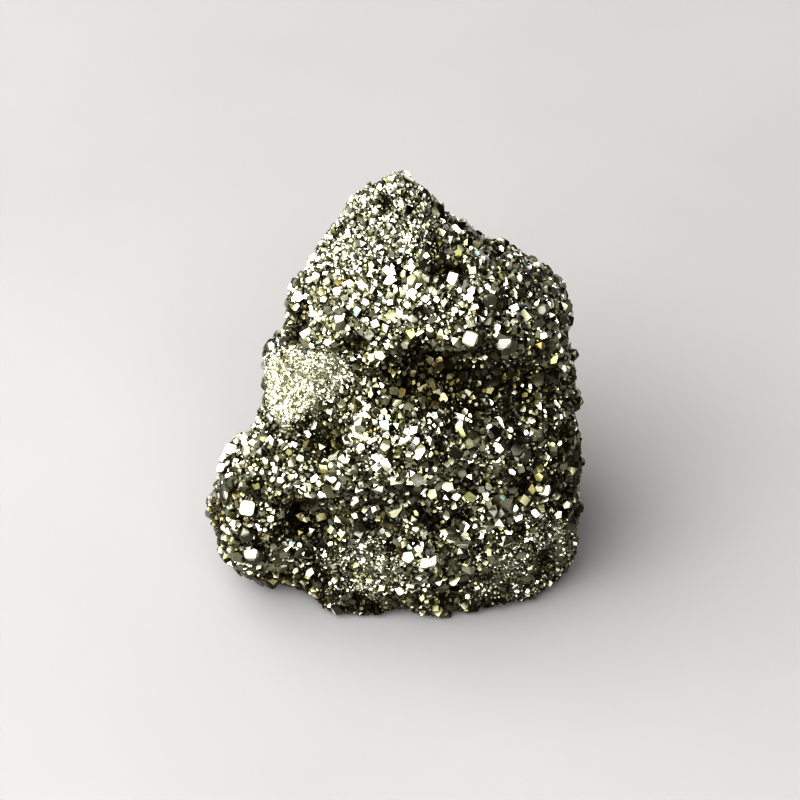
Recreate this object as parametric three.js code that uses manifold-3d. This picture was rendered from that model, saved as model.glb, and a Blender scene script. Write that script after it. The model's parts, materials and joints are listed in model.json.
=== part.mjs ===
// A hand-sized specimen of drusy pyrite: one intergrown mass of crystals, standing on a broken flat foot.
// Millimetres, +Z up. The origin is on the surface that the specimen stands on, under the middle of its
// plan, and its best face looks towards -Y.
import * as THREE from "three";
import { ConvexGeometry } from "three/addons/geometries/ConvexGeometry.js";
import { ImprovedNoise } from "three/addons/math/ImprovedNoise.js";
import { mergeVertices } from "three/addons/utils/BufferGeometryUtils.js";
import Module from "manifold-3d";

// The mass is a run of lobes that melt into each other. Each has a centre, three half-axes and a
// squareness: 2 is an ellipsoid, and a higher number is a blunter, boxier lump.
const LOBES = [
  { name: "heart", at: [3, 0, 21], half: [16.6, 13.6, 18.6], square: 2.4 },
  { name: "peak", at: [-0.8, 6, 37.6], half: [8.5, 6.8, 14.2], square: 2 },
  { name: "brow", at: [4.6, 0, 35.2], half: [13.2, 9.6, 9.6], square: 2.2 },
  { name: "right shoulder", at: [12.3, 3, 29], half: [8.1, 10.6, 11.8], square: 2.4 },
  { name: "left shoulder", at: [-5.4, 3, 34], half: [6.4, 6.4, 6.6], square: 2.2 },
  { name: "left boss", at: [-10.5, 2, 34.4], half: [3.8, 4.6, 4.2], square: 2 },
  { name: "left flank", at: [-6.6, 1, 24.6], half: [10.4, 9.4, 11], square: 2.3 },
  { name: "belly", at: [1, -6, 21.8], half: [12.6, 9.6, 8], square: 2.2 },
  { name: "left knob", at: [-14.2, -9, 12.2], half: [8.2, 6.7, 11.1], square: 4.2 },
  { name: "left toe", at: [-19.4, -8, 10], half: [4.4, 5.6, 5.2], square: 2 },
  { name: "skirt", at: [1, -5, 6], half: [16.6, 11.8, 12.8], square: 3 },
  { name: "right toe", at: [18, -5.5, 5], half: [4.6, 6, 4.6], square: 2.4 },
  { name: "right column", at: [14.2, -2, 14], half: [8, 11, 12.8], square: 4.6 },
  { name: "back", at: [4, 8, 17], half: [14.6, 8.6, 16.6], square: 2.4 },
];
const LOBE_BLEND = 1.2; // how far two lobes melt into each other

// Hollows between the terraces. Each is cut along a chain of points at the surface.
const HOLLOWS = [
  {
    name: "under the brow",
    radius: 2.4,
    through: [[-5.5, -9.4, 31.6], [0, -10, 33.4], [7, -10.2, 33.6], [13, -9.7, 32.2], [20, -8.3, 29.6]],
  },
  {
    name: "beside the fine patch",
    radius: 1.6,
    through: [[-3, -10, 32.5], [-9.5, -10.5, 28.5], [-12, -10.5, 24.5]],
  },
  { name: "right face", radius: 1.8, through: [[13.5, -9.5, 37], [16.5, -9.5, 31]] },
  {
    name: "under the belly",
    radius: 2.2,
    through: [[-15, -15, 17], [-8, -16.5, 16], [2, -16.5, 18.5], [12, -15, 21.5], [19, -13, 25]],
  },
  { name: "under the knob", radius: 1.6, through: [[-17, -15, 4], [-10, -16.5, 6.5], [-5, -17, 11]] },
];
const HOLLOW_BLEND = 1.2;

// Uneven growth: the size of a bump, how high it stands, and where the pattern starts.
const BUMPS = [
  { across: 7, height: 0.9 },
  { across: 3, height: 0.4 },
];
const BUMP_START = [3.1, 8.2, 1.7];

const HEART = new THREE.Vector3(0, -1, 20); // every ray from here leaves the mass once
const RAY_DETAIL = 12; // subdivisions of the icosahedron that the rays follow
const REACH = 60; // further than any point of the mass
const RAY_STEP = 0.4;
const BISECTIONS = 12;

// The largest crystals. The notable ones each sit where a ray from the heart towards a point leaves
// the mass and turn a face much the same way, and the scattered ones are spread over all directions.
const NOTABLE = [
  { toward: [4, -17, 10], size: 1.55, habit: "pyritohedron" },
  { toward: [-1, -17, 15], size: 1.5, habit: "cutCube" },
  { toward: [0, -16, 21], size: 1.4, habit: "pyritohedron" },
  { toward: [-7, -16, 17], size: 1.35, habit: "pyritohedron" },
  { toward: [6, -11, 35], size: 1.6, habit: "pyritohedron" },
  { toward: [8, -9, 39], size: 1.4, habit: "cuboctahedron" },
  { toward: [13, -7, 38], size: 1.55, habit: "pyritohedron" },
  { toward: [15, -9, 35], size: 1.4, habit: "cutCube" },
  { toward: [13, -15, 12], size: 1.3, habit: "icosahedron" },
  { toward: [-16, -13, 18], size: 1.3, habit: "cutCube" },
  { toward: [-17, -14, 11], size: 1.4, habit: "pyritohedron" },
  { toward: [4, -17, 7], size: 1.25, habit: "cutCube" },
  { toward: [17, -13, 24], size: 1.3, habit: "pyritohedron" },
  { toward: [21, -3, 36], size: 1.25, habit: "icosahedron" },
  { toward: [-5, 2, 49], size: 1.25, habit: "cutCube" },
  { toward: [19, -13, 18], size: 1.2, habit: "cuboctahedron" },
];
const NOTABLE_FACING = [-0.3, -0.65, 0.7];
const NOTABLE_STRAY = 0.2; // how far each facing strays from that
const SCATTERED = 110;
const SCATTERED_SIZE = { least: 0.8, most: 1.15 };
const SCATTERED_STRAY = 0.3; // radians by which a crystal strays from an even spread
const FIRST_NOTABLE = 1000; // the notable crystals' numbers start here, clear of the scattered ones
const SUNK = 0.72; // share of its size by which a crystal's centre lies inside the mass
const FOOT_CLEARANCE = 1.2; // no crystal centre is lower than this above the foot

// Patches of grains too fine to show as large crystals.
const FINE_PATCHES = [
  { name: "peak", at: [0, 4, 46], radius: 10 },
  { name: "left flank", at: [-11, -8, 27], radius: 7.5 },
  { name: "right skirt", at: [16, -13, 7], radius: 6 },
];

const noise = new ImprovedNoise();
const GOLDEN_ANGLE = Math.PI * (3 - Math.sqrt(5));

// A repeatable number from 0 to 1 for the nth thing.
function chance(n, salt) {
  const x = Math.sin(n * 12.9898 + salt * 78.233) * 43758.5453;
  return x - Math.floor(x);
}

function lobeDistance(p, { at, half, square }) {
  const out = p.toArray().map((value, i) => Math.abs((value - at[i]) / half[i]) ** square);
  return ((out[0] + out[1] + out[2]) ** (1 / square) - 1) * Math.min(...half);
}

function hollowDistance(p, { radius, through }) {
  const near = new THREE.Vector3();
  let least = Infinity;
  for (let i = 1; i < through.length; i++) {
    const run = new THREE.Line3(new THREE.Vector3(...through[i - 1]), new THREE.Vector3(...through[i]));
    run.closestPointToPoint(p, true, near);
    least = Math.min(least, near.distanceTo(p));
  }
  return least - radius;
}

// Negative inside the mass and positive outside it.
function massDistance(p) {
  const sum = LOBES.reduce((total, lobe) => total + Math.exp(-lobeDistance(p, lobe) / LOBE_BLEND), 0);
  let distance = -LOBE_BLEND * Math.log(sum);
  for (const hollow of HOLLOWS) {
    const cut = Math.exp(-hollowDistance(p, hollow) / HOLLOW_BLEND);
    distance = HOLLOW_BLEND * Math.log(Math.exp(distance / HOLLOW_BLEND) + cut);
  }
  for (const { across, height } of BUMPS) {
    distance += height * noise.noise(...p.toArray().map((value, i) => value / across + BUMP_START[i]));
  }
  return distance;
}

// The outermost point of the mass on a ray from its heart.
function surfacePoint(direction) {
  const p = new THREE.Vector3();
  const distanceAt = (r) => massDistance(p.copy(direction).multiplyScalar(r).add(HEART));
  let inner = REACH;
  while (distanceAt(inner) > 0) inner -= RAY_STEP;
  let outer = inner + RAY_STEP;
  for (let i = 0; i < BISECTIONS; i++) {
    const middle = (inner + outer) / 2;
    if (distanceAt(middle) > 0) outer = middle;
    else inner = middle;
  }
  return p.copy(direction).multiplyScalar(inner).add(HEART);
}

function bareGeometry(geometry) {
  geometry.deleteAttribute("normal");
  geometry.deleteAttribute("uv");
  return mergeVertices(geometry, 1e-5);
}

function massGeometry() {
  const shell = bareGeometry(new THREE.IcosahedronGeometry(1, RAY_DETAIL));
  const corners = shell.getAttribute("position");
  const direction = new THREE.Vector3();
  for (let i = 0; i < corners.count; i++) {
    const p = surfacePoint(direction.fromBufferAttribute(corners, i).normalize());
    corners.setXYZ(i, p.x, p.y, p.z);
  }
  return shell;
}

// The corners of a shape with a crystal's symmetry: every sign and every turn of one corner about
// the cube's diagonal.
function corners(...kinds) {
  const found = new Map();
  for (const kind of kinds) {
    for (let turn = 0; turn < 3; turn++) {
      for (let sign = 0; sign < 8; sign++) {
        const c = [0, 1, 2].map((i) => kind[(i + turn) % 3] * ((sign >> i) & 1 ? -1 : 1) + 0);
        found.set(c.join(), new THREE.Vector3(...c));
      }
    }
  }
  return [...found.values()];
}

// Pyrite's habits, each with its corners about one unit from the middle.
const HABITS = {
  pyritohedron: corners([0.62, 0.62, 0.62], [0, 0.93, 0.465]),
  cutCube: corners([0.68, 0.68, 0.42]),
  icosahedron: corners([0, 0.88, 0.47]),
  cuboctahedron: corners([0.71, 0.71, 0]),
};

// The direction that one of each habit's faces looks in.
const FACES = {
  pyritohedron: [1, 2, 0],
  cutCube: [1, 0, 0],
  icosahedron: [1, 1, 1],
  cuboctahedron: [1, 0, 0],
};

function crystalGeometry({ habit, size, at, turn }) {
  const crystal = bareGeometry(new ConvexGeometry(HABITS[habit]));
  return crystal.applyMatrix4(new THREE.Matrix4().compose(at, turn, new THREE.Vector3(size, size, size)));
}

function anyTurn(n) {
  const angles = [11, 12, 13].map((salt) => 2 * Math.PI * chance(n, salt));
  return new THREE.Quaternion().setFromEuler(new THREE.Euler(...angles));
}

// Turns one face of the crystal to the notable crystals' facing, then spins it about that face.
function facedTurn(n, habit) {
  const stray = NOTABLE_FACING.map((value, i) => value + NOTABLE_STRAY * (2 * chance(n, 14 + i) - 1));
  const facing = new THREE.Vector3(...stray).normalize();
  const face = new THREE.Vector3(...FACES[habit]).normalize();
  const spin = new THREE.Quaternion().setFromAxisAngle(facing, 2 * Math.PI * chance(n, 11));
  return new THREE.Quaternion().setFromUnitVectors(face, facing).premultiply(spin);
}

function placedOn(direction, size) {
  return surfacePoint(direction).addScaledVector(direction, -SUNK * size);
}

function notableCrystals() {
  return NOTABLE.map(({ toward, size, habit }, n) => {
    const direction = new THREE.Vector3(...toward).sub(HEART).normalize();
    return { habit, size, at: placedOn(direction, size), turn: facedTurn(FIRST_NOTABLE + n, habit) };
  });
}

function scatteredCrystals() {
  const { least, most } = SCATTERED_SIZE;
  const names = Object.keys(HABITS);
  const found = [];
  for (let n = 0; n < SCATTERED; n++) {
    const height = 1 - (2 * (n + chance(n, 1))) / SCATTERED;
    const around = n * GOLDEN_ANGLE + SCATTERED_STRAY * chance(n, 2);
    const level = Math.sqrt(1 - height * height);
    const direction = new THREE.Vector3(level * Math.cos(around), level * Math.sin(around), height);
    const size = least + (most - least) * chance(n, 3) ** 2;
    const at = placedOn(direction, size);
    found.push({ habit: names[Math.floor(names.length * chance(n, 4))], size, at, turn: anyTurn(n) });
  }
  const inFinePatch = (p) =>
    FINE_PATCHES.some(({ at, radius }) => p.distanceTo(new THREE.Vector3(...at)) < radius);
  return found.filter(({ at }) => at.z > FOOT_CLEARANCE && !inFinePatch(at));
}

const wasm = await Module();
wasm.setup();

function solidOf(geometry) {
  return new wasm.Manifold(new wasm.Mesh({
    numProp: 3,
    vertProperties: geometry.getAttribute("position").array,
    triVerts: new Uint32Array(geometry.index.array),
  }));
}

function geometryOf(solid) {
  const { vertProperties, triVerts } = solid.getMesh();
  return new THREE.BufferGeometry()
    .setAttribute("position", new THREE.BufferAttribute(vertProperties, 3))
    .setIndex(new THREE.BufferAttribute(triVerts, 1));
}

// Everything under the foot, which is cut away to leave the broken face that the specimen stands on.
function belowFoot() {
  const block = bareGeometry(new THREE.BoxGeometry(2 * REACH, 2 * REACH, REACH));
  block.translate(0, 0, -REACH / 2);
  return solidOf(block);
}

function clusterGeometry() {
  const crystals = [...notableCrystals(), ...scatteredCrystals()];
  const grown = wasm.Manifold.union([massGeometry(), ...crystals.map(crystalGeometry)].map(solidOf));
  const cluster = geometryOf(grown.subtract(belowFoot()));
  cluster.computeBoundingBox();
  const middle = cluster.boundingBox.getCenter(new THREE.Vector3());
  return cluster.translate(-middle.x, -middle.y, 0);
}

const pyrite = new THREE.MeshStandardMaterial({ color: 0xb5a36c, roughness: 0.18, metalness: 1 });
const cluster = new THREE.Mesh(clusterGeometry(), pyrite);
cluster.name = "pyrite_cluster";

const specimen = new THREE.Group();
specimen.add(cluster);
export default specimen;
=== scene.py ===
# A hand-sized specimen of drusy pyrite: thousands of brassy crystals grown together over one granular
# mass, which stands on the face where it was broken from its wall. Metres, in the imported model's frame.
import json
import math

import bmesh
import bpy
import numpy as np
from mathutils import Euler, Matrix, Quaternion, Vector, kdtree, noise
from mathutils.bvhtree import BVHTree

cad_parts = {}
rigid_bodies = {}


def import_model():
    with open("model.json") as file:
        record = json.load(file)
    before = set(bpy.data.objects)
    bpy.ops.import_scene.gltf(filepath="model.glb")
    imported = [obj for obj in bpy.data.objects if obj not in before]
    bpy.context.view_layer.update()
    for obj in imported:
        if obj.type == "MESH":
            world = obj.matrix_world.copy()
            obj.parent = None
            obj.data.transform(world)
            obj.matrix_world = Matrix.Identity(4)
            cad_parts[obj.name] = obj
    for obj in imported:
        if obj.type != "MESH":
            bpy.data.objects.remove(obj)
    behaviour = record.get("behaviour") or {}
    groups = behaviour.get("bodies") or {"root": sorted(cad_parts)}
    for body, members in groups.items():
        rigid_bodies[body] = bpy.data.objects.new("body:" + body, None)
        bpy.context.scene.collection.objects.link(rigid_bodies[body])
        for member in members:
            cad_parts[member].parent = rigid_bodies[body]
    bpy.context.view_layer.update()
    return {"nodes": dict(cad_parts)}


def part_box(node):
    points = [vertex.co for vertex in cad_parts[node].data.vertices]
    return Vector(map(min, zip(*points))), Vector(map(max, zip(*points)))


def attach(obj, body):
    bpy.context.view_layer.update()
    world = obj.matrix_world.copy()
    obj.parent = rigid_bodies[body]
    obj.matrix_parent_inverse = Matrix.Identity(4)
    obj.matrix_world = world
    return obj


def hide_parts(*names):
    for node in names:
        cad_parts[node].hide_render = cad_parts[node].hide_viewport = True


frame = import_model()


# ---- The specimen's outline ------------------------------------------------------------------------
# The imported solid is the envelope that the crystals' tips reach. Its terraces and hollows say where
# every crystal stands and how sheltered it is.

MM = 0.001
CLUSTER = "pyrite_cluster"
low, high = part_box(CLUSTER)
foot_middle = Vector(((low.x + high.x) / 2, (low.y + high.y) / 2, low.z))

COARSE_VOXEL = 0.8 * MM
JOIN_GAP = 1e-6
PATTERN_START = Vector((31.0, 17.0, 5.0))
GOLDEN_ANGLE = math.pi * (3 - math.sqrt(5))


def merged_copy(node, name):
    """A new object with the node's mesh, its loose triangles joined at their corners."""
    mesh = bpy.data.meshes.new(name)
    bm = bmesh.new()
    bm.from_mesh(node.data)
    bmesh.ops.remove_doubles(bm, verts=bm.verts, dist=JOIN_GAP)
    bm.to_mesh(mesh)
    bm.free()
    made = bpy.data.objects.new(name, mesh)
    bpy.context.scene.collection.objects.link(made)
    return made


def settled(made):
    """Turns what the object's modifiers make into its plain mesh."""
    depsgraph = bpy.context.evaluated_depsgraph_get()
    mesh = bpy.data.meshes.new_from_object(made.evaluated_get(depsgraph))
    made.modifiers.clear()
    made.data = mesh
    return made


def remeshed(made, voxel):
    """The object as one closed skin of small even faces."""
    remesh = made.modifiers.new("remesh", "REMESH")
    remesh.mode = "VOXEL"
    remesh.voxel_size = voxel
    return settled(made)


def corners_of(mesh):
    """Where the mesh's corners are, a row for each."""
    co = np.empty(len(mesh.vertices) * 3)
    mesh.vertices.foreach_get("co", co)
    return co.reshape(-1, 3)


def move_corners(mesh, co):
    mesh.vertices.foreach_set("co", co.ravel())
    mesh.update()


def outward(mesh):
    """Which way the mesh faces at each corner."""
    normals = np.empty(len(mesh.vertices) * 3, np.float32)
    mesh.vertex_normals.foreach_get("vector", normals)
    return normals.reshape(-1, 3).astype(float)


def eased(mesh, co, rounds):
    """The corners after each has moved to the middle of its neighbours, that many times."""
    edges = np.empty(len(mesh.edges) * 2, np.int32)
    mesh.edges.foreach_get("vertices", edges)
    a, b = edges.reshape(-1, 2).T
    count = len(co)
    near = np.bincount(a, minlength=count) + np.bincount(b, minlength=count)
    for _ in range(rounds):
        total = [
            np.bincount(a, co[b, i], count) + np.bincount(b, co[a, i], count) for i in range(3)
        ]
        co = np.stack(total, 1) / near[:, None]
    return co


def pattern(co, across, start=0.0):
    """Smooth noise from about -1 to 1 at each point, with lumps of that size."""
    shift = PATTERN_START + Vector((start, start, start))
    return np.array([noise.noise(Vector(p) / across + shift) for p in co])


def finder(points):
    """A tree that finds the points near a place."""
    tree = kdtree.KDTree(len(points))
    for n, point in enumerate(points):
        tree.insert(point, n)
    tree.balance()
    return tree


def store(mesh, name, values, kind="FLOAT", domain="POINT", field="value"):
    """Writes the values on the mesh as a new attribute."""
    attribute = mesh.attributes.new(name, kind, domain)
    attribute.data.foreach_set(field, np.asarray(values, np.float32).ravel())


envelope = remeshed(merged_copy(frame["nodes"][CLUSTER], "pyrite_mass"), COARSE_VOXEL)
envelope_place = corners_of(envelope.data)
solid = merged_copy(frame["nodes"][CLUSTER], "solid")
solid_surface = BVHTree.FromObject(solid, bpy.context.evaluated_depsgraph_get())
bpy.data.objects.remove(solid)

# How sheltered each part of it is, from rays that spread evenly from it. The finishes paint shade where
# it is sheltered.
SHELTER_REACH = 5.5 * MM
SHELTER_RAYS = 26  # on each side of the surface
RAY_START = 0.4  # mm off the surface
GRAZING = 0.1  # flatter rays than this are left out
DEEP_SHELTER = 0.3  # the share of its rays that the deepest hollows block
SHELTER_EASING = 4
NEAREST = 0.1  # mm: a nearer point weighs no more than this
rays = []
for ray in range(2 * SHELTER_RAYS):
    level = 1 - (ray + 0.5) / SHELTER_RAYS
    across = math.sqrt(1 - level * level)
    around = ray * GOLDEN_ANGLE
    rays.append(Vector((across * math.cos(around), across * math.sin(around), level)))


def shelter_at(point, normal):
    """The share of the open directions that the specimen itself blocks: 1 in its deepest hollows."""
    start = point + normal * RAY_START * MM
    weight = blocked = 0.0
    for direction in rays:
        facing = direction.dot(normal)
        if facing > GRAZING:
            weight += facing
            if solid_surface.ray_cast(start, direction, SHELTER_REACH)[0] is not None:
                blocked += facing
    return min(blocked / weight / DEEP_SHELTER, 1)


facings = outward(envelope.data)
shelter = [shelter_at(Vector(point), Vector(facing)) for point, facing in zip(envelope_place, facings)]
shelter = eased(envelope.data, np.repeat(np.array(shelter)[:, None], 3, 1), SHELTER_EASING)[:, 0]
envelope_points = finder(envelope_place)


def near_shelter(p):
    """The shelter at a place, from the three points of the envelope nearest to it."""
    found = envelope_points.find_n(p, 3)
    weights = [1 / (distance + NEAREST * MM) for _, _, distance in found]
    return sum(w * shelter[n] for w, (_, n, _) in zip(weights, found)) / sum(weights)


# ---- The large crystals --------------------------------------------------------------------------
# About a hundred that outgrew the rest, 1.4 to 3.1 mm across. Each is one solid crystal in pyrite's own
# habits, rooted in the mass, with shallow growth steps on its faces.

SOLID_SHIFT = Vector((0.666, 0.264, 0))  # how far the solid was moved to centre its plan
SOLID_HEART = Vector((0, -1, 20))
HEART = foot_middle + (SOLID_HEART + SOLID_SHIFT) * MM
REACH = 60 * MM  # past the farthest crystal's tip
EDGE_ON = 0.01


def corners(*kinds):
    """Every sign and every turn of each corner about the cube's diagonal."""
    found = set()
    for kind in kinds:
        for turn in range(3):
            for sign in range(8):
                found.add(
                    tuple(kind[(i + turn) % 3] * (-1 if sign >> i & 1 else 1) + 0.0 for i in range(3))
                )
    return sorted(found)


HABITS = {
    "pyritohedron": corners((0.62, 0.62, 0.62), (0, 0.93, 0.465)),
    "cut_cube": corners((0.68, 0.68, 0.42)),
    "icosahedron": corners((0, 0.88, 0.47)),
    "cuboctahedron": corners((0.71, 0.71, 0)),
    "cube": corners((0.62, 0.62, 0.62)),
    "octahedron": corners((0, 0, 0.95)),
}
FACES = {  # a normal of one face of each
    "pyritohedron": (1, 2, 0),
    "cut_cube": (1, 0, 0),
    "icosahedron": (1, 1, 1),
    "cuboctahedron": (1, 0, 0),
    "cube": (1, 0, 0),
    "octahedron": (1, 1, 1),
}


def crystal_mesh(name, points, steps=()):
    """A convex crystal about one unit in radius. Each step is a terrace on every face: how far in from
    the last edge, and how far up. Its attributes are plane, each face's number, and striae, which runs
    across each face's growth lines."""
    bm = bmesh.new()
    for point in points:
        bm.verts.new(point)
    bmesh.ops.convex_hull(bm, input=bm.verts)
    bmesh.ops.dissolve_limit(bm, angle_limit=math.radians(1), verts=bm.verts, edges=bm.edges)
    plane = bm.faces.layers.int.new("plane")
    tops = list(bm.faces)
    for n, face in enumerate(tops):
        face[plane] = n
    for inset, rise in steps:
        bmesh.ops.inset_individual(bm, faces=tops, thickness=inset)
        for face in tops:
            bmesh.ops.translate(bm, verts=face.verts, vec=face.normal * rise)
    bmesh.ops.recalc_face_normals(bm, faces=bm.faces)
    mesh = bpy.data.meshes.new(name)
    bm.to_mesh(mesh)
    bm.free()
    mesh.shade_flat()
    striae = np.empty(len(mesh.loops))
    for face in mesh.polygons:
        along = (int(np.argmax(np.abs(face.normal))) + 1) % 3
        for loop in face.loop_indices:
            striae[loop] = mesh.vertices[mesh.loops[loop].vertex_index].co[along]
    store(mesh, "striae", striae, domain="CORNER")
    return mesh


def habit_collection(name, shares, steps=(), face_up=False):
    """The shapes that a size of crystal takes, each as often as its share. With face_up, each has one
    face towards +Z."""
    shapes = bpy.data.collections.new(name)
    for habit, share in shares.items():
        mesh = crystal_mesh(f"{name} {habit}", HABITS[habit], steps)
        if face_up:
            seat = Vector(FACES[habit]).rotation_difference(Vector((0, 0, 1)))
            mesh.transform(seat.to_matrix().to_4x4())
        for n in range(share):
            shapes.objects.link(bpy.data.objects.new(f"{name} {habit} {n}", mesh))
    return shapes


def chance(n, salt):
    """A repeatable number from 0 to 1 for the nth thing."""
    x = math.sin(n * 12.9898 + salt * 78.233) * 43758.5453
    return x - math.floor(x)


def face_planes(points):
    """Each face of a crystal as its outward normal and its distance from the middle."""
    mesh = crystal_mesh("planes", points)
    planes = [(face.normal.copy(), face.normal.dot(face.center)) for face in mesh.polygons]
    bpy.data.meshes.remove(mesh)
    return planes


PLANES = {habit: face_planes(points) for habit, points in HABITS.items()}


def large_crystal(direction, size, habit, turn):
    """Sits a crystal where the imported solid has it: its middle is as far under the solid's surface as
    the crystal is deep in that direction."""
    direction = direction.normalized()
    own = turn.inverted() @ direction
    depth = min(out / normal.dot(own) for normal, out in PLANES[habit] if normal.dot(own) > EDGE_ON)
    surface = solid_surface.ray_cast(HEART + direction * REACH, -direction)[0]
    return {
        "habit": habit,
        "radius": size * MM,
        "middle": surface - direction * depth * size * MM,
        "turn": turn.to_euler("XYZ"),
    }


# The crystals that stand out most: what each one points at, its radius in millimetres and its habit.
# Each turns a face much the same way.
NOTABLE = [
    ((4, -17, 10), 1.55, "pyritohedron"),
    ((-1, -17, 15), 1.5, "cut_cube"),
    ((0, -16, 21), 1.4, "pyritohedron"),
    ((-7, -16, 17), 1.35, "pyritohedron"),
    ((6, -11, 35), 1.6, "pyritohedron"),
    ((8, -9, 39), 1.4, "cuboctahedron"),
    ((13, -7, 38), 1.55, "pyritohedron"),
    ((15, -9, 35), 1.4, "cut_cube"),
    ((13, -15, 12), 1.3, "icosahedron"),
    ((-16, -13, 18), 1.3, "cut_cube"),
    ((-17, -14, 11), 1.4, "pyritohedron"),
    ((4, -17, 7), 1.25, "cut_cube"),
    ((17, -13, 24), 1.3, "pyritohedron"),
    ((21, -3, 36), 1.25, "icosahedron"),
    ((-5, 2, 49), 1.25, "cut_cube"),
    ((19, -13, 18), 1.2, "cuboctahedron"),
]
NOTABLE_FACING = (-0.3, -0.65, 0.7)
NOTABLE_STRAY = 0.2
FIRST_NOTABLE = 1000  # numbered apart from the scattered ones, so their chances differ
SCATTERED = 110
SCATTERED_STRAY = 0.3
SCATTERED_SIZE = (0.8, 1.15)
SCATTERED_HABITS = ("pyritohedron", "cut_cube", "icosahedron", "cuboctahedron")
BARE_PATCHES = [((0, 4, 46), 10), ((-11, -8, 27), 7.5), ((16, -13, 7), 6)]  # centre and radius
FOOT_CLEARANCE = 1.2 * MM
FOOT_MARGIN = 0.95  # of a crystal's radius


def notable_crystal(n, toward, size, habit):
    """One of the crystals that stand out most, with a face turned almost as the others' are."""
    facing = [v + NOTABLE_STRAY * (2 * chance(n, 14 + i) - 1) for i, v in enumerate(NOTABLE_FACING)]
    facing = Vector(facing).normalized()
    spin = Quaternion(facing, 2 * math.pi * chance(n, 11))
    turn = spin @ Vector(FACES[habit]).rotation_difference(facing)
    return large_crystal(Vector(toward) - SOLID_HEART, size, habit, turn)


def scattered_crystal(n):
    """One of the crystals that lie evenly all round, turned at random."""
    level = 1 - 2 * (n + chance(n, 1)) / SCATTERED
    around = n * GOLDEN_ANGLE + SCATTERED_STRAY * chance(n, 2)
    across = math.sqrt(1 - level * level)
    least, most = SCATTERED_SIZE
    size = least + (most - least) * chance(n, 3) ** 2
    habit = SCATTERED_HABITS[int(len(SCATTERED_HABITS) * chance(n, 4))]
    direction = Vector((across * math.cos(around), across * math.sin(around), level))
    turn = Euler([2 * math.pi * chance(n, salt) for salt in (11, 12, 13)], "ZYX").to_quaternion()
    return large_crystal(direction, size, habit, turn)


def stands_free(crystal):
    """Whether it is off the bare patches and above the foot."""
    clear = all(
        (crystal["middle"] - foot_middle - (Vector(centre) + SOLID_SHIFT) * MM).length > radius * MM
        for centre, radius in BARE_PATCHES
    )
    return clear and crystal["middle"].z > low.z + max(FOOT_CLEARANCE, FOOT_MARGIN * crystal["radius"])


large = [notable_crystal(FIRST_NOTABLE + n, *crystal) for n, crystal in enumerate(NOTABLE)]
large += [scattered_crystal(n) for n in range(SCATTERED)]
large = [crystal for crystal in large if stands_free(crystal)]

LARGE_STEPS = ((0.1, 0.0), (0.02, 0.022), (0.16, 0.0), (0.02, 0.018))
large_shapes = habit_collection("large", dict.fromkeys(SCATTERED_HABITS, 1), LARGE_STEPS)


class Wire:
    """A socket that a value comes out of. Sums on it add Math nodes."""

    def __init__(self, nodes, socket):
        self.nodes, self.socket = nodes, socket

    def __add__(self, other):
        return self.nodes.math("ADD", self, other)

    def __sub__(self, other):
        return self.nodes.math("SUBTRACT", self, other)

    def __rsub__(self, other):
        return self.nodes.math("SUBTRACT", other, self)

    def __mul__(self, other):
        return self.nodes.math("MULTIPLY", self, other)

    def __truediv__(self, other):
        return self.nodes.math("DIVIDE", self, other)

    def __rtruediv__(self, other):
        return self.nodes.math("DIVIDE", other, self)

    def __pow__(self, other):
        return self.nodes.math("POWER", self, other)

    def __gt__(self, other):
        return self.nodes.math("GREATER_THAN", self, other)

    __radd__ = __add__
    __rmul__ = __mul__

    def clipped(self):
        return self.nodes.add("ShaderNodeClamp", Value=self)

    def between(self, start, end):
        """0 at start, 1 at end, and held there outside them."""
        return self.nodes.add(
            "ShaderNodeMapRange", {"Value": self, "From Min": start, "From Max": end}
        )


class Nodes:
    """A node tree that is being wired."""

    def __init__(self, tree):
        self.tree = tree

    def add(self, kind, sockets=None, settings=None, out=0, **named):
        """Adds a node, makes its settings, fills its sockets, and gives the output that is asked for,
        or the node itself where it has none."""
        node = self.tree.nodes.new(kind)
        for name, value in (settings or {}).items():
            setattr(node, name, value)
        for name, value in {**(sockets or {}), **named}.items():
            self.fill(self.found(node.inputs, name), value)
        return Wire(self, self.found(node.outputs, out)) if len(node.outputs) else node

    def found(self, sockets, name):
        if isinstance(name, int):
            return sockets[name]
        return next(s for s in sockets if s.enabled and name in (s.identifier, s.name))

    def fill(self, socket, value):
        if isinstance(value, Wire):
            self.tree.links.new(value.socket, socket)
        else:
            socket.default_value = value

    def math(self, operation, *terms):
        return self.add("ShaderNodeMath", dict(enumerate(terms)), {"operation": operation})

    def vector(self, operation, *terms, out=0):
        return self.add("ShaderNodeVectorMath", dict(enumerate(terms)), {"operation": operation}, out)

    def scaled(self, vector, factor):
        sockets = {0: vector, "Scale": factor}
        return self.add("ShaderNodeVectorMath", sockets, {"operation": "SCALE"})

    def mixed(self, share, first, second):
        """Two colours mixed by share, which is 0 for the first and 1 for the second."""
        sockets = {"Factor_Float": share, "A_Color": first, "B_Color": second}
        return self.add("ShaderNodeMix", sockets, {"data_type": "RGBA"}, "Result_Color")

    def noise(self, place, size, detail):
        """Soft noise from 0 to 1, in lumps of about that size."""
        return self.add("ShaderNodeTexNoise", Vector=place, Scale=1 / size, Detail=detail)

    def attribute(self, name):
        return self.add("ShaderNodeAttribute", settings={"attribute_name": name}, out="Fac")


def metal(name):
    """A new material with one metal shader, and its nodes."""
    material = bpy.data.materials.new(name)
    material.use_nodes = True
    nodes = Nodes(material.node_tree)
    shader = material.node_tree.nodes["Principled BSDF"]
    shader.inputs["Metallic"].default_value = 1
    return material, nodes, shader


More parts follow.
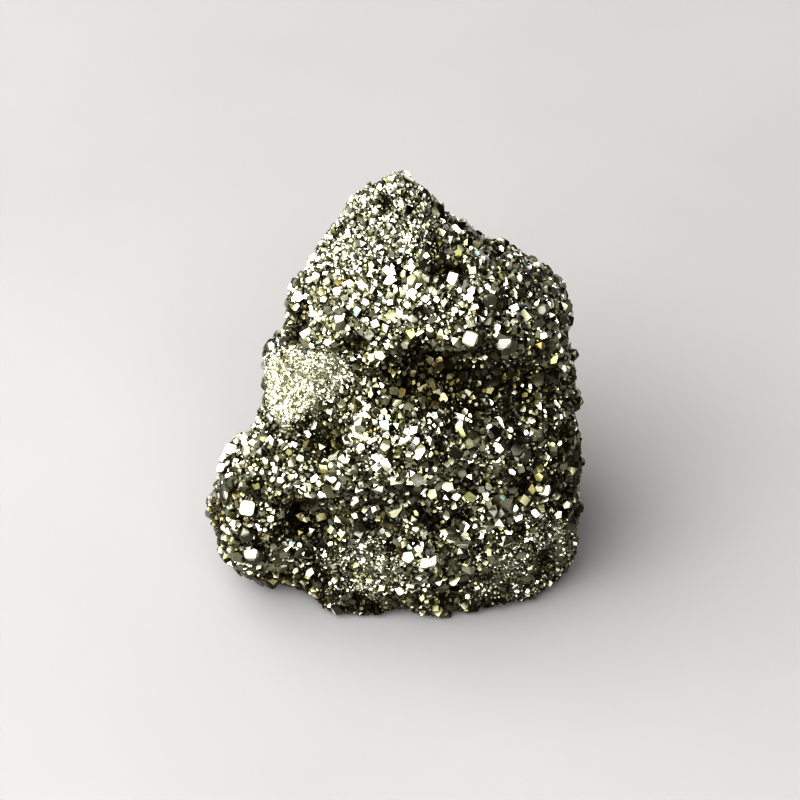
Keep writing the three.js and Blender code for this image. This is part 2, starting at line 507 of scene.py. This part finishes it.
PALE_BRASS = (0.55, 0.542, 0.445, 1)
OLIVE_STEEL = (0.145, 0.137, 0.055, 1)
RUST_FILM = (0.13, 0.102, 0.03, 1)
# The dark brown that painted shade turns the surface to.
SHADE_BROWN = (0.026, 0.02, 0.005, 1)
FINE_GRAIN = (0.3, 0.282, 0.184, 1)
BLUE_TARNISH = (0.08, 0.17, 0.17, 1)
BRONZE_TARNISH = (0.3, 0.19, 0.045, 1)
BLUE_SHARE = 0.015  # of the crystals
BRONZE_SHARE = 0.02
BLOTCH = 2.2 * MM
SPECK = 0.3 * MM
WAVE = 0.55 * MM  # a face's slow unevenness


def crystal_finish(name, striae_depth, facet_depth, gloss, tarnish=1.0, clean=0.0):
    """Bright metal faces with growth lines across them. Each crystal and each face has its own tone, a
    few are tarnished blue-green or bronze, and rust lies at the crystals' roots. Shade is painted in as
    dark brown at the crystals' roots and where they are sheltered, less where the grain is finest.
    clean adds to every face's brightness."""
    material, nodes, shader = metal(name)
    tone = nodes.attribute("tone")
    facet = nodes.attribute("facet")
    shelter = nodes.attribute("shelter")
    root = nodes.attribute("stand")
    fine = nodes.attribute("fine")
    place = nodes.add("ShaderNodeTexCoord", out="Object")
    blotch = nodes.noise(place, BLOTCH, 5.0)
    speck = nodes.noise(place, SPECK, 3.0)
    polished = (fine * 4 - 3).clipped()  # where the grain is finest
    bright = ((facet * 0.7 + tone * 0.3) ** 1.15 + clean).clipped()
    base = nodes.mixed(bright, OLIVE_STEEL, PALE_BRASS)
    base = nodes.mixed((tone > 1 - BLUE_SHARE) * 0.6 * tarnish, base, BLUE_TARNISH)
    base = nodes.mixed((1 - tone > 1 - BRONZE_SHARE) * 0.25 * tarnish, base, BRONZE_TARNISH)
    base = nodes.mixed(polished * 0.75, base, FINE_GRAIN)
    low_down = 1 - root.between(-0.1, 0.75)
    shelter = shelter * (1 - polished * 0.6)
    rust = (low_down * 0.5 + shelter * 0.85 + blotch * 1.2 + speck * 0.4 - 1.25).clipped()
    base = nodes.mixed(rust, base, RUST_FILM)
    # Painted shade: the crystals' roots and sheltered places are darkened to brown, as shade would darken
    # them.
    painted_shade = (low_down * (0.95 - polished * 0.8) + shelter * 0.85).clipped()
    base = nodes.mixed(painted_shade * 0.92, base, SHADE_BROWN)
    nodes.fill(shader.inputs["Base Color"], base)
    rough = gloss + facet * 0.06 + speck * 0.04 + rust * 0.2 + polished * 0.3
    nodes.fill(shader.inputs["Roughness"], rough)
    lines = nodes.add(
        "ShaderNodeTexNoise",
        {"W": nodes.attribute("striae") * 9.0 + tone * 61.0, "Scale": 1.0, "Detail": 3.0},
        {"noise_dimensions": "1D"},
    )
    relief = lines * striae_depth + nodes.noise(place, WAVE, 2.0) * facet_depth
    bump = nodes.add("ShaderNodeBump", Height=relief, Distance=1.0, Strength=1.0)
    nodes.fill(shader.inputs["Normal"], bump)
    return material


def geometry_tree(name, inputs):
    """An empty geometry tree with these named inputs, and its nodes and input wires."""
    tree = bpy.data.node_groups.new(name, "GeometryNodeTree")
    tree.interface.new_socket("Geometry", in_out="INPUT", socket_type="NodeSocketGeometry")
    tree.interface.new_socket("Geometry", in_out="OUTPUT", socket_type="NodeSocketGeometry")
    for label, kind in inputs.items():
        tree.interface.new_socket(label, in_out="INPUT", socket_type=f"NodeSocket{kind}")
    entry = tree.nodes.new("NodeGroupInput")
    nodes = Nodes(tree)
    wires = {socket.name: Wire(nodes, socket) for socket in entry.outputs if socket.name}
    return tree, nodes, wires


def named(nodes, name, kind="FLOAT"):
    """The attribute of that name."""
    sockets = {"Name": name}
    return nodes.add("GeometryNodeInputNamedAttribute", sockets, {"data_type": kind}, "Attribute")


def kept(nodes, geometry, name, value, kind="FLOAT", domain="POINT"):
    """The geometry with the value kept on it as an attribute."""
    sockets = {"Geometry": geometry, "Name": name, "Value": value}
    settings = {"data_type": kind, "domain": domain}
    return nodes.add("GeometryNodeStoreNamedAttribute", sockets, settings)


def random_number(nodes, seed, least=0.0, most=1.0, kind="FLOAT", **which):
    """A number, or three, for each point or for each ID that is given."""
    sockets = {"Min": least, "Max": most, "Seed": seed, **which}
    return nodes.add("FunctionNodeRandomValue", sockets, {"data_type": kind}, "Value")


CRYSTAL_NUMBERS = 5000
FACE_NUMBERS = 40  # more than any crystal's faces


def rooting_tree():
    """Sets a crystal on each point. The points carry size, turn, pick, up and stretch."""
    inputs = {"Shapes": "Collection", "Finish": "Material", "Seed": "Int"}
    tree, nodes, wires = geometry_tree("crystals on points", inputs)
    seed = wires["Seed"]
    position = nodes.add("GeometryNodeInputPosition")
    points = kept(nodes, wires["Geometry"], "tone", random_number(nodes, seed))
    points = kept(nodes, points, "middle", position, "FLOAT_VECTOR")
    shapes = nodes.add(
        "GeometryNodeCollectionInfo",
        {"Collection": wires["Shapes"], "Separate Children": True, "Reset Children": True},
    )
    radius = named(nodes, "size")
    scale = nodes.scaled(named(nodes, "stretch", "FLOAT_VECTOR"), radius)
    crystals = nodes.add(
        "GeometryNodeInstanceOnPoints",
        {
            "Points": points,
            "Instance": shapes,
            "Pick Instance": True,
            "Instance Index": named(nodes, "pick", "INT"),
            "Rotation": named(nodes, "turn", "FLOAT_VECTOR"),
            "Scale": scale,
        },
    )
    crystals = nodes.add("GeometryNodeRealizeInstances", Geometry=crystals)
    # stand is how far each corner is above the crystal's middle, as a share of its radius
    out = nodes.vector("SUBTRACT", position, named(nodes, "middle", "FLOAT_VECTOR"))
    height = nodes.vector("DOT_PRODUCT", out, named(nodes, "up", "FLOAT_VECTOR"), out="Value")
    crystals = kept(nodes, crystals, "stand", height / radius)
    # each flat face of each crystal, with its terraces, has one random number
    crystal = nodes.math("ROUND", named(nodes, "tone") * CRYSTAL_NUMBERS)
    face = crystal * FACE_NUMBERS + named(nodes, "plane", "INT")
    crystals = kept(nodes, crystals, "facet", random_number(nodes, seed + 5, ID=face), domain="FACE")
    crystals = nodes.add("GeometryNodeSetMaterial", Geometry=crystals, Material=wires["Finish"])
    nodes.add("NodeGroupOutput", Geometry=crystals)
    return tree


def grown(made, tree, values):
    """The mesh that the tree makes on the object, with the tree's inputs set by name."""
    modifier = made.modifiers.new(tree.name, "NODES")
    modifier.node_group = tree
    for item in tree.interface.items_tree:
        if item.in_out == "INPUT" and item.name in values:
            modifier[item.identifier] = values[item.name]
    return settled(made)


ROOTING = rooting_tree()
CARRIED = ("size", "turn", "pick", "up", "stretch", "middle", "room", "share", "plane")


def finished_crystals(piece):
    mesh = piece.data
    middles = np.empty(len(mesh.vertices) * 3, np.float32)
    mesh.attributes["middle"].data.foreach_get("vector", middles)
    radii = np.empty(len(mesh.vertices), np.float32)
    mesh.attributes["size"].data.foreach_get("value", radii)
    each = np.unique(np.c_[middles.reshape(-1, 3), radii], axis=0)
    for name in [a.name for a in mesh.attributes]:
        if name in CARRIED:
            mesh.attributes.remove(mesh.attributes[name])
    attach(piece, "root")
    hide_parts(CLUSTER)
    return each


STANDING_CLEAR = 0.5  # of the shelter at its roots reaches a large crystal
sites = bpy.data.meshes.new("large_crystals")
sites.from_pydata([crystal["middle"] for crystal in large], [], [])
store(sites, "size", [crystal["radius"] for crystal in large])
store(sites, "turn", [crystal["turn"] for crystal in large], "FLOAT_VECTOR", field="vector")
store(sites, "stretch", np.ones((len(large), 3)), "FLOAT_VECTOR", field="vector")
store(sites, "up", [crystal["middle"] - HEART for crystal in large], "FLOAT_VECTOR", field="vector")
store(sites, "shelter", [STANDING_CLEAR * near_shelter(crystal["middle"]) for crystal in large])
pick = sites.attributes.new("pick", "INT", "POINT")
order = sorted(SCATTERED_HABITS)
pick.data.foreach_set("value", [order.index(crystal["habit"]) for crystal in large])
large_piece = bpy.data.objects.new("large_crystals", sites)
bpy.context.scene.collection.objects.link(large_piece)
grown(
    large_piece,
    ROOTING,
    {
        "Shapes": large_shapes,
        "Finish": crystal_finish("large crystal faces", 0.008 * MM, 0.012 * MM, 0.07, 0.3, 0.4),
        "Seed": 3,
    },
)
large_placed = finished_crystals(large_piece)


# ---- The mass ------------------------------------------------------------------------------------
# Fine granular pyrite, grown as one solid from the wall outwards. It fills the specimen, shows between
# the crystals, and its underside is the rough face where it broke away.

GRAIN_VOXEL = 0.37 * MM
MASS_INSET = 0.85 * MM  # the crystals' tips stand this far out of it
HEALING_ROUNDS = 60
EASING_ROUNDS = 3
HEALED_WIDTH = 1.15  # of a large crystal's radius, plus the margin
HEALED_MARGIN = 0.3 * MM
ROOT_SKIRT = 2.6  # a large crystal's radii within which the mass is held up to it
ROOT_DEPTH = 0.5 * MM
LUMP = 6.5 * MM
LUMP_HEIGHT = 1.2  # heights and depths in millimetres
SMALL_LUMP = 2.8 * MM
SMALL_LUMP_HEIGHT = 0.6
PIT = 3.4 * MM
PIT_RIM = 0.17  # the level of the pattern above which it is a pit
PIT_DEPTH = 4

# Where the growth swells or draws in: centre from the foot's middle and radius, in millimetres, and how
# far it stands out.
SWELLS = [
    ((-1, -15, 25.5), 6.5, 1.6),
    ((-8, -15, 23), 4.5, 1.0),
    ((11, -13.5, 26), 4, 0.8),
    ((1, -16.5, 16), 5, -1.0),
    ((4, -16.5, 9.5), 5, 0.8),
]

# The envelope without its large crystals: what lies near one sinks back to the level around it.
coarse = envelope.data
raised = np.zeros(len(envelope_place), bool)
rooted = np.zeros(len(envelope_place))  # 1 under a large crystal, where the mass has to reach it
for crystal in large:
    width = HEALED_WIDTH * crystal["radius"] + HEALED_MARGIN
    for _, n, _ in envelope_points.find_range(crystal["middle"], width):
        raised[n] = True
    skirt = ROOT_SKIRT * crystal["radius"]
    for _, n, distance in envelope_points.find_range(crystal["middle"], skirt):
        rooted[n] = max(rooted[n], min(2 - 2 * distance / skirt, 1))
place = envelope_place
for _ in range(HEALING_ROUNDS):
    place = np.where(raised[:, None], eased(coarse, place, 1), place)
place = eased(coarse, place, EASING_ROUNDS)
move_corners(coarse, place)
lumps = LUMP_HEIGHT * pattern(place, LUMP) + SMALL_LUMP_HEIGHT * pattern(place, SMALL_LUMP, 9.0)
for centre, radius, rise in SWELLS:
    middle = np.array(foot_middle + Vector(centre) * MM)
    lumps += rise * np.exp(-((np.linalg.norm(place - middle, axis=1) / (radius * MM)) ** 2))
pits = np.clip(pattern(place, PIT, 21.0) - PIT_RIM, 0, 1) * PIT_DEPTH
# Pits deeper than the lumps round them get painted shade, as extra shelter.
shelter = np.clip(shelter + 0.9 * np.clip(pits - np.maximum(lumps, -0.2) - 0.1, 0, 1), 0, 1)
growth = (lumps - pits) * MM - MASS_INSET
growth += rooted * (np.maximum(growth, -ROOT_DEPTH) - growth)
place = place + outward(coarse) * growth[:, None]
place[:, 2] = np.maximum(place[:, 2], low.z)
move_corners(coarse, place)

# Patches where the grain is fine: centre from the foot's middle and radius, in millimetres, and how
# fine it is there.
FINE_PATCHES = [
    ((-14.5, -5.5, 29.5), 7.5, 1.0),
    ((-9.5, -8, 31.5), 6, 1.0),
    ((16.5, -12.6, 7), 9.5, 0.8),
    ((-3.5, 3.4, 47), 9, 0.6),
    ((-4.5, -16.6, 8), 7, 0.8),
    ((4, 15, 12), 9, 0.8),
]


def fineness(co):
    """0 where the crystals are coarse, to 1 in the middle of a fine patch."""
    ragged = 0.35 * pattern(co, 3 * MM, 40.0)
    fine = 0.25 * np.clip(pattern(co, 8 * MM, 50.0), 0, 1)
    for centre, radius, most in FINE_PATCHES:
        middle = np.array(foot_middle + Vector(centre) * MM)
        inside = 1 - np.linalg.norm(co - middle, axis=1) / (radius * MM)
        fine = np.maximum(fine, most * np.clip(2.5 * (inside + ragged * (inside > -0.4)), 0, 1))
    return fine


# Patches of painted shade, in hollows and on the right side, besides the foot's: centre and radius, and
# how strongly.
SHADE_PATCHES = [
    ((-19, -10, 12), 9, 0.5),
    ((24, -4, 18), 15, 0.55),
    ((4, -9, 32.5), 5.5, 0.5),
    ((10, -9, 32.5), 5, 0.35),
    ((16, -8, 31.5), 5.5, 0.85),
    ((3, -16, 19.5), 4, 0.8),
    ((9.5, -15.5, 20.5), 4, 0.8),
    ((-12, -15, 17.5), 3.5, 0.7),
]

# The surface itself: small tilted grains, each about a third of a millimetre across. Its foot is flat,
# but for the grains' own roughness.
GRAIN_SEED = 7
GRAIN_RELIEF = (-0.16, 0.1)  # mm in and out
GRAIN_STRAY = 0.1  # mm each way
FOOT_ROUGHNESS = 0.12  # mm
FOOT_EDGE = 1.2 * MM
# Painted shade, darker towards the foot: how much, and how high it reaches.
FOOT_SHADE = 0.6
FOOT_SHADE_HEIGHT = 14 * MM
mass = remeshed(envelope, GRAIN_VOXEL)
grain = np.random.default_rng(GRAIN_SEED)
place = eased(mass.data, corners_of(mass.data), 1)
normal = outward(mass.data)
place += normal * grain.uniform(*GRAIN_RELIEF, len(place))[:, None] * MM
place += grain.uniform(-GRAIN_STRAY, GRAIN_STRAY, place.shape) * MM
broken = np.clip((FOOT_EDGE - (place[:, 2] - low.z)) / MM, 0, 1)
foot_grain = low.z + broken * grain.uniform(0, FOOT_ROUGHNESS, len(place)) * MM
place[:, 2] = np.maximum(place[:, 2], foot_grain)
triangles = bmesh.new()
triangles.from_mesh(mass.data)
for vertex, p in zip(triangles.verts, place):
    vertex.co = p
bmesh.ops.triangulate(triangles, faces=triangles.faces, quad_method="ALTERNATE")
triangles.to_mesh(mass.data)
triangles.free()
mass.data.shade_flat()
mass_normal = outward(mass.data)
mass_fine = fineness(place)
# Painted shade: darker towards the foot and in the shade patches, added to the shelter.
patch_shade = FOOT_SHADE * np.clip(1 - (place[:, 2] - low.z) / FOOT_SHADE_HEIGHT, 0, 1)
for centre, radius, most in SHADE_PATCHES:
    away = np.linalg.norm(place - np.array(foot_middle + Vector(centre) * MM), axis=1)
    patch_shade = np.maximum(patch_shade, most * np.clip(1.5 - 1.5 * away / (radius * MM), 0, 1))
mass_shelter = np.clip(np.array([near_shelter(p) for p in place]) + patch_shade, 0, 1)
store(mass.data, "shelter", mass_shelter)
store(mass.data, "fine", mass_fine)

GRAIN = 0.34 * MM
TONE_SCALE = 0.61  # the patches that share a tone are a little larger than a grain
MASS_BLOTCH = 1.6 * MM


def granular_finish():
    """Tiny grains, each tilted its own way, duller than crystal faces and rusty where sheltered.
    Shade is painted in as dark brown where they are sheltered and where they show between coarse
    crystals.
    """
    material, nodes, shader = metal("granular pyrite")
    place = nodes.add("ShaderNodeTexCoord", out="Object")
    fine = nodes.attribute("fine")
    tilt = nodes.add("ShaderNodeTexVoronoi", Vector=place, Scale=1 / GRAIN, out="Color")
    tone = nodes.add("ShaderNodeTexVoronoi", Vector=place, Scale=TONE_SCALE / GRAIN, out="Color")
    tone = nodes.add("ShaderNodeSeparateColor", Color=tone)
    tilt = nodes.scaled(nodes.vector("SUBTRACT", tilt, (0.5, 0.5, 0.5)), 1.2 - fine * 0.5)
    facing = nodes.add("ShaderNodeNewGeometry", out="Normal")
    facing = nodes.vector("NORMALIZE", nodes.vector("ADD", facing, tilt))
    nodes.fill(shader.inputs["Normal"], facing)
    blotch = nodes.noise(place, MASS_BLOTCH, 4.0)
    shelter = nodes.attribute("shelter")
    rust = (shelter * 0.6 + blotch * 1.2 - 0.6).clipped()
    base = nodes.mixed((tone + fine * 0.3).clipped(), OLIVE_STEEL, PALE_BRASS)
    base = nodes.mixed(rust, base, RUST_FILM)
    # Painted shade: dark brown where sheltered, and where the grain lies between coarse crystals.
    painted_shade = (shelter * 0.8 + (1 - fine) * 0.7).clipped()
    base = nodes.mixed(painted_shade * 0.9, base, SHADE_BROWN)
    nodes.fill(shader.inputs["Base Color"], base)
    nodes.fill(shader.inputs["Roughness"], 0.2 + tone * 0.14 + rust * 0.2 + fine * 0.15)
    return material


mass.data.materials.clear()
mass.data.materials.append(granular_finish())
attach(mass, "root")
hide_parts(CLUSTER)


# ---- The druse -----------------------------------------------------------------------------------
# The carpet of smaller crystals, 0.1 to 2.8 mm across, that grew side by side over the whole mass. The
# coarse ones took their places first, and each finer size filled the gaps that were left.

CANDIDATES = 4  # points tried in each square of one spacing
SIZE_SKEW = 1.5  # above 1, more of the crystals are near the least radius
BURIED = 0.25  # a crystal is dropped if this share of its radius has no room
FOOT_GAP = 1.05  # of its radius above the foot, or it is dropped


def scatter_tree():
    """Spreads points over a surface no closer than a spacing, drops those with no room, and roots a
    crystal on each."""
    inputs = {
        "Share": "String",
        "Spacing": "Float",
        "Least radius": "Float",
        "Greatest radius": "Float",
        "Lift": "Float",
        "Stray": "Float",
        "Tilt": "Float",
        "Foot": "Float",
        "Habit count": "Int",
        "Shapes": "Collection",
        "Finish": "Material",
        "Seed": "Int",
    }
    tree, nodes, wires = geometry_tree("druse", inputs)
    seed, spacing = wires["Seed"], wires["Spacing"]
    points = nodes.add(
        "GeometryNodeDistributePointsOnFaces",
        {
            "Mesh": wires["Geometry"],
            "Distance Min": spacing,
            "Density Max": CANDIDATES / spacing ** 2,
            "Density Factor": named(nodes, wires["Share"]),
            "Seed": seed,
        },
        {"distribute_method": "POISSON"},
    )
    up = Wire(nodes, points.socket.node.outputs["Normal"])
    least, most = wires["Least radius"], wires["Greatest radius"]
    radius = least + (most - least) * random_number(nodes, seed + 1) ** SIZE_SKEW
    lift = (wires["Lift"] + random_number(nodes, seed + 2, -1.0, 1.0) * wires["Stray"]) * radius
    points = kept(nodes, points, "size", radius)
    points = kept(nodes, points, "up", up, "FLOAT_VECTOR")
    astray = random_number(nodes, seed + 3, (-1.0,) * 3, (1.0,) * 3, "FLOAT_VECTOR")
    astray = nodes.scaled(astray, wires["Tilt"])
    spin = nodes.add("ShaderNodeCombineXYZ", Z=random_number(nodes, seed + 5, 0.0, 2 * math.pi))
    turn = nodes.add(
        "FunctionNodeAlignRotationToVector",
        {"Rotation": spin, "Vector": nodes.vector("ADD", up, astray)},
        {"axis": "Z"},
    )
    points = kept(nodes, points, "turn", turn, "FLOAT_VECTOR")
    stretch = random_number(nodes, seed + 4, (0.65,) * 3, (1.35,) * 3, "FLOAT_VECTOR")
    points = kept(nodes, points, "stretch", stretch, "FLOAT_VECTOR")
    pick = random_number(nodes, seed + 6, 0, wires["Habit count"], "INT")
    points = kept(nodes, points, "pick", pick, "INT")
    offset = nodes.scaled(named(nodes, "up", "FLOAT_VECTOR"), lift)
    points = nodes.add("GeometryNodeSetPosition", Geometry=points, Offset=offset)
    height = nodes.add("GeometryNodeInputPosition")
    height = nodes.add("ShaderNodeSeparateXYZ", Vector=height, out="Z")
    size = named(nodes, "size")
    crowded = BURIED * size > named(nodes, "room")
    underfoot = wires["Foot"] + FOOT_GAP * size > height
    dropped = nodes.math("MAXIMUM", crowded, underfoot)
    points = nodes.add("GeometryNodeDeleteGeometry", Geometry=points, Selection=dropped)
    sockets = {"Geometry": points, "Shapes": wires["Shapes"], "Finish": wires["Finish"]}
    settings = {"node_tree": ROOTING}
    crystals = nodes.add("GeometryNodeGroup", {**sockets, "Seed": seed + 9}, settings)
    nodes.add("NodeGroupOutput", Geometry=crystals)
    return tree


SCATTER = scatter_tree()
LARGE_WAIST = 0.4  # of a crystal's radius: the mass within it is taken
DRUSE_WAIST = 0.55
ROOM_REACH = 1.6  # of its radius, plus the margin: farther off, the mass has room
ROOM_MARGIN = 0.5 * MM
surface = finder(place)
room = np.full(len(place), 1.0)


def take_room(crystals, share):
    """Notes at each corner of the mass how far it is from the nearest placed crystal's waist."""
    for *middle, radius in crystals:
        for _, n, distance in surface.find_range(middle, radius * ROOM_REACH + ROOM_MARGIN):
            room[n] = min(room[n], distance - share * radius)


take_room(large_placed, LARGE_WAIST)

# None grows on the foot, and where the grain is fine there are only the finer sizes.
FOOT_BARE = 0.6 * MM
STRAIGHT_DOWN = -0.93  # faces that point down more than this are the broken foot
above_foot = np.clip((place[:, 2] - low.z) / FOOT_BARE, 0, 1)
grows = above_foot * np.clip((mass_normal[:, 2] - STRAIGHT_DOWN) / 0.1, 0, 1)
SHARES = {
    "coarse": np.clip(1 - 1.9 * mass_fine - 0.6 * mass_shelter, 0, 1),
    "medium": np.clip(1.1 - 1.1 * mass_fine, 0, 1),
    "fine": np.clip(1.4 - 0.9 * mass_fine, 0, 1),
    "finest": np.clip(0.4 + 0.8 * mass_fine, 0, 1),
}
DRUSE_HABITS = {"pyritohedron": 4, "cut_cube": 3, "cuboctahedron": 3, "cube": 2}
SMALL_HABITS = {"pyritohedron": 2, "cuboctahedron": 4, "cube": 4}
FINE_HABITS = {"cuboctahedron": 3, "cube": 4, "octahedron": 2}
druse_faces = crystal_finish("druse crystal faces", 0.006 * MM, 0.012 * MM, 0.12)
fine_faces = crystal_finish("fine crystal faces", 0.0, 0.006 * MM, 0.16)

# Each size of crystal: its piece, its share, the spacing and the least and greatest radius in
# millimetres, how far out it sits and strays in radii, how much shade is painted in its crevices, its
# seed, its habits and its finish.
SIZES = [
    ("coarse_crystals", "coarse", 1.1, (0.62, 1.1), -0.4, 0.25, 0.0, 100, DRUSE_HABITS, druse_faces),
    ("middling_crystals", "medium", 0.61, (0.42, 0.72), -0.3, 0.3, 0.35, 200, DRUSE_HABITS, druse_faces),
    ("small_crystals", "fine", 0.44, (0.26, 0.42), -0.1, 0.3, 0.65, 300, SMALL_HABITS, druse_faces),
    ("smallest_crystals", "finest", 0.3, (0.13, 0.24), 0.0, 0.3, 0.8, 400, FINE_HABITS, fine_faces),
]
CREVICE_WIDTH = 0.6 * MM
CRYSTAL_TILT = 0.75  # how far each crystal's face strays from the surface that it grew on

for name, share, spacing, radii, lift, stray, crevice_shade, seed, habits, finish in SIZES:
    shapes = habit_collection(name, habits, face_up=True)
    store(mass.data, "room", room)
    # Painted shade: where the room beside a placed crystal is narrow, crystals growing there are darkened
    # as if in shade.
    narrow_gap_shade = np.clip(1 - room / CREVICE_WIDTH, 0, 1) * (1 - mass_fine) * crevice_shade
    shaded = mass.data.attributes["shelter"]
    shaded.data.foreach_set("value", np.clip(mass_shelter + narrow_gap_shade, 0, 1).astype(np.float32))
    store(mass.data, "share", SHARES[share] * grows)
    piece = bpy.data.objects.new(name, mass.data.copy())
    bpy.context.scene.collection.objects.link(piece)
    values = {
        "Share": "share",
        "Spacing": spacing * MM,
        "Least radius": radii[0] * MM,
        "Greatest radius": radii[1] * MM,
        "Lift": lift,
        "Stray": stray,
        "Tilt": CRYSTAL_TILT,
        "Foot": low.z,
        "Habit count": len(shapes.objects) - 1,
        "Shapes": shapes,
        "Finish": finish,
        "Seed": seed,
    }
    grown(piece, SCATTER, values)
    for extra in ("room", "share"):
        mass.data.attributes.remove(mass.data.attributes[extra])
    each = finished_crystals(piece)
    take_room(each, DRUSE_WAIST)
mass.data.attributes["shelter"].data.foreach_set("value", mass_shelter.astype(np.float32))


# ---- The studio ----------------------------------------------------------------------------------
# A pale table, five soft boxes and a bright window's glow, and the camera, a hand's span away and
# looking down at the specimen's front.

FLOOR_HALF = 4.0
MOTTLE = 1 / 18
TABLE_COLOURS = ((0.18, 0.17, 0.147, 1), (0.2, 0.19, 0.165, 1))


def table_finish():
    material = bpy.data.materials.new("pale table")
    material.use_nodes = True
    nodes = Nodes(material.node_tree)
    shader = material.node_tree.nodes["Principled BSDF"]
    place = nodes.add("ShaderNodeTexCoord", out="Object")
    base = nodes.mixed(nodes.noise(place, MOTTLE, 6.0), *TABLE_COLOURS)
    nodes.fill(shader.inputs["Base Color"], base)
    shader.inputs["Roughness"].default_value = 0.7
    shader.inputs["Specular IOR Level"].default_value = 0.05
    return material


table = bpy.data.meshes.new("table")
ends = (-FLOOR_HALF, FLOOR_HALF)
table.from_pydata([(x, y, low.z) for y in ends for x in ends], [], [(0, 1, 3, 2)])
table.materials.append(table_finish())
floor = bpy.data.objects.new("floor", table)
bpy.context.scene.collection.objects.link(floor)

AIM = foot_middle + Vector((0.4, -1, 23.4)) * MM
CAMERA_RISE = math.radians(40)
CAMERA_DISTANCE = 232 * MM
lens = bpy.data.cameras.new("camera")
lens.lens = 85
lens.sensor_width = 36
lens.clip_start = 0.01
camera = bpy.data.objects.new("camera", lens)
bpy.context.scene.collection.objects.link(camera)
back = Vector((0, -math.cos(CAMERA_RISE), math.sin(CAMERA_RISE)))
camera.location = AIM + back * CAMERA_DISTANCE
camera.rotation_euler = (math.pi / 2 - CAMERA_RISE, 0, 0)
bpy.context.scene.camera = camera

DAYLIGHT = (0.93, 0.985, 1.16)


def soft_light(name, direction, distance, size, brightness):
    """A square soft box that looks at the specimen."""
    light = bpy.data.lights.new(name, "AREA")
    light.shape = "RECTANGLE"
    light.size, light.size_y = size
    light.energy = brightness * math.pi * size[0] * size[1]
    light.color = DAYLIGHT
    made = bpy.data.objects.new(name, light)
    bpy.context.scene.collection.objects.link(made)
    direction = Vector(direction).normalized()
    made.location = AIM + direction * distance
    made.rotation_euler = direction.to_track_quat("Z", "Y").to_euler()
    made.visible_camera = False


soft_light("key", (-0.75, -0.2, 0.75), 0.5, (1.0, 0.85), 4.9)
soft_light("front", (-0.25, -0.8, 0.6), 0.6, (1.05, 0.8), 4.9)
soft_light("window", (-1.0, -0.3, 0.3), 0.55, (0.3, 0.3), 3.6)
soft_light("back", (0.25, 1.0, 0.4), 0.6, (0.6, 0.25), 4.0)
soft_light("fill", (0.85, 0.7, 0.3), 0.6, (0.5, 0.4), 1.6)

DARK_ROOM = (0.04, 0.037, 0.026, 1)
WINDOW_SKY = (3.0, 3.0, 3.1, 1)
GLOW_EDGE = 2.5  # the higher, the narrower the window's glow
HORIZON_GLOW = 0.05
world = bpy.data.worlds.new("studio")
bpy.context.scene.world = world
world.use_nodes = True
air = Nodes(world.node_tree)
way = air.add("ShaderNodeTexCoord", out="Generated")
toward_window = air.vector("DOT_PRODUCT", way, (-0.7, -0.3, 0.65), out="Value")
glow = toward_window.between(-0.4, 0.8) ** GLOW_EDGE
rise = air.add("ShaderNodeSeparateXYZ", Vector=way, out="Z")
glow = air.math("MAXIMUM", glow, (1 - rise.between(0.0, 0.12)) * HORIZON_GLOW)
background = world.node_tree.nodes["Background"]
air.fill(background.inputs["Color"], air.mixed(glow, DARK_ROOM, WINDOW_SKY))

bpy.context.scene.view_settings.view_transform = "Standard"
bpy.context.scene.view_settings.gamma = 0.67
